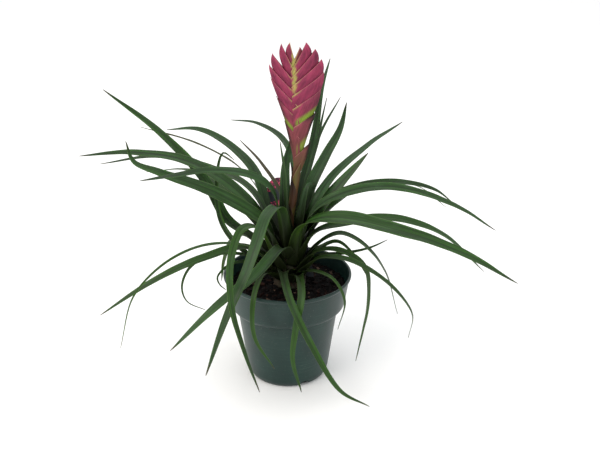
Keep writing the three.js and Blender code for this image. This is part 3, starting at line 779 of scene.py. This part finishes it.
# %% Fold a bract
def bract(name, sign, values, below_it, seed, replaces):
    """A boat folded along its keel. Rows run up from the foot; columns run margin, keel, margin."""
    foot, tip, reach, drop, hook, roundness, green_height, brown, old = values
    rows, half_columns = 46, 16
    columns = 2 * half_columns + 1
    keel_foot = 1.9
    top = tip_reach(sign, tip, reach)
    outer, inner, marks = [], [], []
    for i in range(rows):
        v = 1 - (1 - i / (rows - 1)) ** 1.25
        z = foot + (tip - foot) * v
        swell = (1 - roundness) * v**1.25 + roundness * (1 - (1 - v) ** 1.45) ** 1.25
        keel = keel_foot + (top + hook - keel_foot) * swell - hook * max(0, (v - 0.72) / 0.28) ** 2
        fall = min((tip - z) / drop, 1)
        margin = min(CROSSING + (top - CROSSING) * (1 - fall**FIN), keel - 0.12)
        waver = 0.5 * math.sin(z * 0.9) + 0.3 * math.sin(z * 0.37 + 1)
        for j in range(columns):
            a = (j - half_columns) / half_columns
            face = -1 if a < 0 else 1
            d = (keel - margin) * abs(a)
            off_middle = keel - d
            under_margin = max(margin_height(off_middle, sign, tip, reach, drop) - z, 0.0)
            belly = 0.22 + 3.2 * (1 - math.exp(-d / 9.0)) + 0.3 * math.sin(math.pi * abs(a)) * (1 - v)
            belly += 0.3 * math.exp(-under_margin / 1.2) * min(1, d / 3)
            ridge = math.exp(-d / 0.5)
            y = 0.0 if a == 0 else face * belly
            y_inside = 0.0 if a == 0 else face * max(belly - 0.3, 0.03)
            x = spike_axis(z) + sign * off_middle
            outer.append((x, y, z))
            inner.append((x - sign * 0.45 * ridge, y_inside, z - 0.02))
            stripe = 0.0
            if green_height:
                shown = z - margin_height(off_middle, sign, *below_it[1:4]) if below_it else NOTHING_BELOW
                stripe = float(1 - ease(shown, 0.5 * green_height, green_height + 1.2))
                stripe *= float(ease(off_middle, -1.6, 1.5)) * min(1.0, 1.25 - 0.04 * green_height)
            dry_edge = float(1 - ease(d, 0.8, 2.8)) * float(ease(v, 0.35, 0.75))
            band = float(1 - ease(abs(off_middle + sign * waver), 0.4, 2.0))
            band *= float(ease(z, 249, 257)) * float(1 - ease(z, 279, 288))
            branch = 0.7 * float(1 - ease(abs(off_middle), 1.5, 6)) * float(1 - ease(under_margin, 0.4, 1.8))
            marks.append({
                "strap_mm": (d * face, (tip - foot) * v, seed * 5.1),
                # The distance below the free margin sets the painted light and the pale thread.
                "margin_mm": under_margin,
                "green": stripe,
                "brown": brown * max(float(ease(v, 0.76, 0.93)), dry_edge),
                "pale": max(0.8 * band, branch * float(ease(z, 215, 250))),
                "old": old * float(1 - 0.35 * ease(v, 0.3, 0.9)),
            })
    strap_piece(name, outer, inner, columns, marks, bract_material, replaces, flip=sign < 0)


for rank, sign, side in ((RIGHT_RANK, 1, "right"), (LEFT_RANK, -1, "left")):
    for index, values in enumerate(rank):
        below_it = rank[index - 1] if index else None
        number = index + 1
        seed = index + 20 * (sign > 0)
        bract(f"{side}_bract_{number}", sign, values, below_it, seed, [f"bract_{side}_{number}"])

# %% [markdown]
# ## The scape
# The stem of the spike, its scape, is a finger-thick stalk that is hidden by bracts of its own. These lie
# round it like overlapping paper cones, pink where they are young, olive and brown where they are old.

# %% Draw the scape
scape_low, scape_high = (Vector(corner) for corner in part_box("scape"))
SCAPE_ROUTE = [
    (PLANT_X / MM, 0, CROWN_TOP / MM + 0.3),
    (3.2, 0, 148),
    (5.9, 0, 170),
    (8.0, 0, 190),
    (SPIKE_AXIS_X + 0.4, 0, 215),
    (SPIKE_AXIS_X - 1.2, 0, 264),
]


def scape_centre(z):
    """The scape's x at a height, in millimetres."""
    line, _ = midrib(SCAPE_ROUTE, 80)
    return float(np.interp(z, line[:, 2], line[:, 0]))


def tube_faces(sides, rings):
    """Faces of a closed tube: rings of points with a flat cap at each end."""
    last = (rings - 1) * sides
    faces = [tuple(range(sides))[::-1], tuple(range(last, last + sides))]
    for low in range(0, last, sides):
        for k in range(sides):
            after, high = (k + 1) % sides, low + sides
            faces.append((low + k, low + after, high + after, high + k))
    return faces


line, scape_length = midrib(SCAPE_ROUTE, 60)
sides = 20
turns = [2 * math.pi * k / sides for k in range(sides)]
verts = []
for x, _, z in line:
    radius = 2.4 + (1.0 - 2.4) * float(ease(z, 150, 185))
    radius += 0.12 * math.sin(z * 0.8)
    verts += [(x + radius * math.cos(turn), radius * math.sin(turn), z) for turn in turns]
faces = tube_faces(sides, len(line))
piece("scape_stalk", np.array(verts) * MM, faces, dry_material, ["scape"])
print(f"scape {scape_length:.0f} mm long")


# %% Wrap the scape's own bracts
def scape_wrap(name, foot, tip, radius, facing, lean, brown, seed):
    """A paper cone round the scape: wide at its foot, cut slantwise to a point that stands away."""
    rows, columns = 26, 25
    outer, inner, marks = [], [], []
    for i in range(rows):
        v = i / (rows - 1)
        z = foot + (tip - foot) * v
        centre = scape_centre(z)
        spread = 165 * (1 - v**1.7) ** 0.8 + 4
        for j in range(columns):
            a = -1 + 2 * j / (columns - 1)
            turn = math.radians(facing + spread * a)
            grown = radius * (1 + 0.1 * math.sin(math.pi * v)) + lean * v**2.2 + 0.2 * a
            outer.append((centre + grown * math.cos(turn), grown * math.sin(turn), z))
            inner.append((centre + (grown - 0.3) * math.cos(turn), (grown - 0.3) * math.sin(turn), z))
            marks.append({
                "strap_mm": (radius * math.radians(spread) * a, (tip - foot) * v, seed * 3.3),
                # The distance from the wrap's edge sets the bract material's painted light and pale thread
                # here too.
                "margin_mm": (1 - abs(a)) * radius * math.radians(spread),
                "green": 0.3 * (0.5 + 0.5 * math.sin(3 * a + seed)),
                "brown": brown * (0.5 + 0.5 * float(ease(v, 0.3, 0.9))),
                "pale": 0.0,
                "old": 0.95,
            })
    strap_piece(name, outer, inner, columns, marks, bract_material)


scape_wrap("scape_wrap_1", 132, 158, 2.6, 200, 0.8, 1.0, 1)
scape_wrap("scape_wrap_2", 141, 168, 2.7, 320, 0.8, 0.8, 2)
scape_wrap("scape_wrap_3", 152, 182, 2.9, 190, 1.0, 1.0, 3)
scape_wrap("scape_wrap_4", 163, 194, 3.0, 335, 0.8, 0.4, 4)
print("scape wraps: 4")

# %% [markdown]
# ## The nursery pot
# The pot is injection-moulded polypropylene, coloured right through, a dark sea green. Moulding leaves
# it with a satin skin, an IOR of 1.49, faint rings from the turned mould about a millimetre apart, and it
# picks up scuffs and a little dried water. It is turned from a profile with small rounded corners, thin
# walled and open, and then has its four drainage notches cut through its foot.


# %% Build the pot material
def moulded_polypropylene():
    material, tree = new_material("moulded_polypropylene_sea_green")
    place = node(tree, "TexCoord").outputs["Object"]
    # Mould rings: height only, one about every 1.1 mm, drawn a little coarse so that they show.
    height = node(tree, "Mapping", {"Vector": place, "Scale": (6, 6, 900)})
    rings = node(tree, "TexNoise", {"Vector": height, "Scale": 1.0, "Detail": 2.0})
    # Handling scuffs: short level scratches in patches.
    scratch = node(tree, "Mapping", {"Vector": place, "Rotation": (0.0, 0.2, 0.0), "Scale": (40, 40, 1400)})
    scratches = node(tree, "TexNoise", {"Vector": scratch, "Scale": 1.0, "Detail": 5.0})
    patches = node(tree, "TexNoise", {"Vector": place, "Scale": 38.0, "Detail": 4.0})
    specks = node(tree, "TexNoise", {"Vector": place, "Scale": 900.0, "Detail": 2.0})

    marked = node(tree, "MapRange", {"Value": scratches, "From Min": 0.56, "From Max": 0.7})
    handled = node(tree, "MapRange", {"Value": patches, "From Min": 0.42, "From Max": 0.72, "To Max": 0.5})
    worn = node(tree, "Math", {0: marked, 1: handled}, operation="MULTIPLY")
    dusty = node(tree, "MapRange", {"Value": specks, "From Min": 0.66, "From Max": 0.74, "To Max": 0.45})
    colour = node(tree, "ValToRGB", {"Fac": patches}, stops=[(0.3, "#0c2622"), (0.7, "#14332d")])
    for share, tint in ((worn, "#43574f"), (dusty, "#5a625a")):
        colour = node(tree, "Mix", {"Factor": share, "A": colour, "B": paint(tint)}, data_type="RGBA")
    # Worn places are rougher than the moulded skin.
    skin = node(tree, "MapRange", {"Value": patches, "To Min": 0.3, "To Max": 0.46})
    rubbed = node(tree, "Math", {0: worn, 1: 0.35}, operation="MULTIPLY")
    relief = node(tree, "Bump", {"Height": rings, "Strength": 0.35, "Distance": 0.15 * MM})
    scored = {"Height": scratches, "Strength": 0.15, "Distance": 0.1 * MM, "Normal": relief}
    shader = node(tree, "BsdfPrincipled", {
        "Base Color": colour,
        "Roughness": node(tree, "Math", {0: skin, 1: rubbed}, operation="ADD"),
        "Normal": node(tree, "Bump", scored),
        "IOR": 1.49,
        "Specular IOR Level": 0.36,
    })
    node(tree, "OutputMaterial", {"Surface": shader})
    return material


pot_material = moulded_polypropylene()
print("material:", pot_material.name)


# %% Turn the pot
def rounded(profile, steps=5):
    """Rounds the corners of a profile of (radius, height, rounding)."""
    out = []
    for k, (r, z, soft) in enumerate(profile):
        if soft == 0 or k in (0, len(profile) - 1):
            out.append((r, z))
            continue
        here = np.array((r, z))
        before = np.array(profile[k - 1][:2]) - here
        after = np.array(profile[k + 1][:2]) - here
        start = here + before / np.linalg.norm(before) * min(soft, np.linalg.norm(before) * 0.48)
        end = here + after / np.linalg.norm(after) * min(soft, np.linalg.norm(after) * 0.48)
        for s in np.linspace(0, 1, steps):
            out.append(tuple((1 - s) ** 2 * start + 2 * s * (1 - s) * here + s**2 * end))
    return out


WALL = 1.2
LIP, RIM = LIP_RADIUS / MM, POT_HEIGHT / MM
pot_profile = [
    (0, 0, 0), (26.0, 0.0, 0.4), (27.0, 0.5, 0.3), (29.5, 0.5, 0.3), (30.0, 0.0, 0.4),
    (33.4, 0.4, 2.2), (35.6, 5.0, 2.0), (42.9, 58.0, 0.6), (43.3, 62.8, 0.5), (45.6, 64.0, 1.6),
    (49.4, 67.0, 2.2), (50.2, 71.0, 1.5), (53.5, RIM - 3.6, 0.4), (54.4, RIM - 3.0, 0.4),
    (LIP, RIM - 2.0, 0.5), (LIP, RIM - 0.3, 0.6), (LIP - 0.8, RIM, 0.5), (53.2, RIM - 0.1, 0.4),
    (52.8, RIM - 1.6, 0.5), (48.4, 68.4, 0.8), (46.6, 66.4, 0.8), (42.3, 63.4, 0.8),
    (34.5, 5.6, 1.6), (32.6, 2.2, 1.0), (0, WALL, 0),
]
verts, faces = turned(rounded(pot_profile), 176)
pot_piece = piece("pot_shell", verts, faces, pot_material, ["pot"])
print("pot turned with", len(faces), "faces")

# %% Cut the drainage notches
notch_mesh = bmesh.new()
for k in range(4):
    angle = math.radians(-64 + 90 * k)
    lying = Matrix.Translation((38 * MM, 0, 0)) @ Matrix.Rotation(math.pi / 2, 4, "Y")
    place = Matrix.Rotation(angle, 4, "Z") @ lying
    bmesh.ops.create_cone(
        notch_mesh, cap_ends=True, segments=28, radius1=5 * MM, radius2=5 * MM, depth=16 * MM, matrix=place
    )
notch_data = bpy.data.meshes.new("notch_cutter")
notch_mesh.to_mesh(notch_data)
notch_mesh.free()
cutter = bpy.data.objects.new("notch_cutter", notch_data)
scene.collection.objects.link(cutter)
cut = pot_piece.modifiers.new("notches", "BOOLEAN")
cut.object = cutter
cut.solver = "EXACT"
bpy.context.view_layer.update()
cut_mesh = bpy.data.meshes.new_from_object(pot_piece.evaluated_get(bpy.context.evaluated_depsgraph_get()))
pot_piece.modifiers.clear()
pot_piece.data = cut_mesh
cut_mesh.shade_smooth()
cut_mesh.set_sharp_from_angle(angle=math.radians(32))
bpy.data.objects.remove(cutter)
print("pot has", len(cut_mesh.polygons), "faces after cutting")

# %% [markdown]
# ## The potting mix
# The mix is bark and peat, nearly black when moist. Its surface is uneven by a couple of millimetres, with
# splinters of red-brown bark and a few pale crumbs on top. A plain bumpy disc looks like felt, so the
# surface is a sculpted plug, and several hundred small splinters lie on it as real geometry.


# %% Build the mix materials
def bark_and_peat(name, chips):
    material, tree = new_material(name)
    place = node(tree, "TexCoord").outputs["Object"]
    fine = node(tree, "TexNoise", {"Vector": place, "Scale": 1500.0, "Detail": 4.0})
    if chips:
        source = node(tree, "Attribute", attribute_name="chip").outputs["Fac"]
    else:
        crumbs = node(tree, "TexVoronoi", {"Vector": place, "Scale": 620.0})
        source = node(tree, "MapRange", {"Value": crumbs, "To Max": 0.28})
    browns = [(0.0, "#070505"), (0.35, "#0b0707"), (0.6, "#150b0a"), (0.8, "#24110e")]
    browns += [(0.95, "#33201a"), (1.0, "#5c4c40")]
    colour = node(tree, "ValToRGB", {"Fac": source}, stops=browns)
    grain = node(tree, "MapRange", {"Value": fine, "To Min": 0.55, "To Max": 1.4})
    shader = node(tree, "BsdfPrincipled", {
        "Base Color": node(tree, "Mix", {"Factor": 1.0, "A": colour, "B": grain}, **SHADING),
        "Roughness": node(tree, "MapRange", {"Value": fine, "To Min": 0.7, "To Max": 0.95}),
        "Normal": node(tree, "Bump", {"Height": fine, "Strength": 0.8, "Distance": 0.4 * MM}),
        "Specular IOR Level": 0.12,
    })
    node(tree, "OutputMaterial", {"Surface": shader})
    return material


peat_material = bark_and_peat("moist_peat_mix", False)
chip_material = bark_and_peat("bark_splinters", True)
print("materials:", peat_material.name, chip_material.name)


# %% Sculpt the plug
def mix_height(x, y):
    """The mix's surface height at a place, in millimetres."""
    r = math.hypot(x, y)
    base = 84.0 - 2.0 * float(ease(r, 18, 50))
    return (
        base
        + 0.8 * math.sin(x * 0.21 + 1.3) * math.cos(y * 0.17 - 0.4)
        + 0.5 * math.sin(x * 0.53 - y * 0.47)
        + 0.3 * math.sin(x * 1.3 + 0.7 * y) * math.cos(y * 1.1)
    )


plug_outside = [(34.0, 3.2), (35.0, 6.2), (41.9, 63.8), (46.2, 67.0), (48.0, 68.8), (50.4, 81.2)]
sides, rings = 132, 46
turns = [2 * math.pi * k / sides for k in range(sides)]
verts = [(0.0, 0.0, 1.5)]
for r, z in plug_outside:
    verts += [(r * math.cos(turn), r * math.sin(turn), z) for turn in turns]
for ring in range(rings):
    r = 50.3 * (1 - ring / rings)
    for x, y in [(r * math.cos(turn), r * math.sin(turn)) for turn in turns]:
        verts.append((x, y, mix_height(x, y)))
verts.append((0.0, 0.0, mix_height(0, 0)))
faces = lathe_faces(sides, len(plug_outside) + rings)
piece("mix_plug", np.array(verts) * MM, faces, peat_material, ["potting_mix"])
print("mix plug:", len(faces), "faces")

# %% Scatter the splinters
chip_rng = random.Random(21)
CORNERS = [(-1, -1, -1), (1, -1, -1), (1, 1, -1), (-1, 1, -1), (-1, -1, 1), (1, -1, 1), (1, 1, 1), (-1, 1, 1)]
SIDES = [(0, 3, 2, 1), (4, 5, 6, 7), (0, 1, 5, 4), (1, 2, 6, 5), (2, 3, 7, 6), (3, 0, 4, 7)]
verts, faces, tones = [], [], []
for _ in range(1500):
    radius = 49.2 * math.sqrt(chip_rng.random())
    angle = chip_rng.uniform(0, 2 * math.pi)
    x, y = radius * math.cos(angle), radius * math.sin(angle)
    long = chip_rng.uniform(0.5, 1.5) if chip_rng.random() < 0.8 else chip_rng.uniform(1.5, 3.2)
    size = (long, long * chip_rng.uniform(0.35, 0.7), long * chip_rng.uniform(0.2, 0.45))
    if radius + long > 49.6:
        continue
    heading = Matrix.Rotation(chip_rng.uniform(0, 6.3), 3, "Z")
    spin = heading @ Matrix.Rotation(chip_rng.uniform(-0.5, 0.5), 3, "X")
    tone = chip_rng.random() ** 1.6
    if chip_rng.random() < 0.012:
        tone = 1.0
    first = len(verts)
    for corner in CORNERS:
        shape = Vector(c * s * chip_rng.uniform(0.6, 1.0) for c, s in zip(corner, size))
        verts.append(Vector((x, y, mix_height(x, y) + size[2] * 0.4)) + spin @ shape)
        tones.append(tone)
    faces += [tuple(first + k for k in side) for side in SIDES]
verts = np.array([tuple(v) for v in verts]) * MM
chips = piece("bark_splinters", verts, faces, chip_material, smooth=False)
point_values(chips, "chip", tones)
print("splinters:", len(faces) // 6)

# %% [markdown]
# ## The plant label
# The label is a die-cut tag of printed polypropylene sheet, 0.8 mm thick, with a round head and a long
# stake. Print gives it flat, bright areas and a slight gloss. It carries a generic pattern of bands and
# dots and no words. It is cut a little narrower than its solid and 3.5 mm to the left of it, where it is
# seen between the leaves, with a fine bevel round the edge.


# %% Build the label material
def printed_sheet():
    material, tree = new_material("printed_polypropylene_sheet")
    plate = node(tree, "Attribute", attribute_name="plate_mm").outputs["Vector"]
    down = node(tree, "SeparateXYZ", {"Vector": plate}).outputs["Y"]
    # Dots of a printed blossom pattern, about 2.4 mm apart.
    dots = node(tree, "TexVoronoi", {"Vector": plate, "Scale": 0.42})
    ink = node(tree, "MapRange", {"Value": dots, "From Min": 0.38, "From Max": 0.6})
    pinks = {"Factor": ink, "A": paint("#d8416c"), "B": paint("#4d1731")}
    haze = node(tree, "TexNoise", {"Vector": plate, "Scale": 0.25, "Detail": 3.0})
    navies = {"Factor": haze, "A": paint("#0c1122"), "B": paint("#262e33")}
    # Bands: blossom to 9.5 mm below the top, navy to 19, blossom to 25, and navy for the rest.
    span = 60.0
    bands = node(tree, "MapRange", {"Value": down, "From Min": 0.0, "From Max": span})
    edges = [(0.0, "#000000"), (9.5 / span, "#ffffff"), (19 / span, "#000000"), (25 / span, "#ffffff")]
    steps = node(tree, "ValToRGB", {"Fac": bands}, stops=edges)
    steps.color_ramp.interpolation = "CONSTANT"
    printed = {
        "Factor": steps,
        "A": node(tree, "Mix", pinks, data_type="RGBA"),
        "B": node(tree, "Mix", navies, data_type="RGBA"),
    }
    shader = node(tree, "BsdfPrincipled", {
        "Base Color": node(tree, "Mix", printed, data_type="RGBA"),
        "Roughness": node(tree, "MapRange", {"Value": haze, "To Min": 0.28, "To Max": 0.4}),
        "IOR": 1.49,
    })
    node(tree, "OutputMaterial", {"Surface": shader})
    return material


label_material = printed_sheet()
print("material:", label_material.name)

# %% Cut the label
LABEL_LENGTH, LABEL_WIDTH, LABEL_THICK, STAKE_WIDTH, STAKE_LENGTH = 113.0, 21.5, 0.8, 5.0, 62.0
LABEL_TOP = Vector((-11.2, 46.0, 163.8))
lean = Vector((-16, 18, 44)).normalized()
face_out = (Vector((0, -1, 0)) - lean * lean.dot(Vector((0, -1, 0)))).normalized()
sideways = lean.cross(face_out)
half = LABEL_WIDTH / 2
outline = [(-STAKE_WIDTH / 2 + 1.5, -LABEL_LENGTH), (STAKE_WIDTH / 2 - 1.5, -LABEL_LENGTH)]
outline += [(STAKE_WIDTH / 2, -LABEL_LENGTH + 4), (half, -LABEL_LENGTH + STAKE_LENGTH)]
outline += [(half * math.cos(a), -half + half * math.sin(a)) for a in np.linspace(0, math.pi, 33)]
outline += [(-half, -LABEL_LENGTH + STAKE_LENGTH), (-STAKE_WIDTH / 2, -LABEL_LENGTH + 4)]
middle = Vector((0, -LABEL_LENGTH * 0.4))
verts, flat = [], []
count = len(outline)
bevel = ((-0.5, 0.2), (-0.25, 0.0), (0.25, 0.0), (0.5, 0.2))  # share of the thickness, inset in mm
for depth, inset in bevel:
    for u, v in outline:
        pull = (Vector((u, v)) - middle).normalized() * inset
        u2, v2 = u - pull.x, v - pull.y
        verts.append(LABEL_TOP + sideways * u2 + lean * v2 + face_out * depth * LABEL_THICK)
        flat.append((u2, -v2, 0.0))
faces = tube_faces(count, len(bevel))
verts = np.array([tuple(v) for v in verts]) * MM
label = piece("label_tag", verts, faces, label_material, ["plant_label"])
label.data.set_sharp_from_angle(angle=math.radians(30))
point_values(label, "plate_mm", flat)
print("label cut")
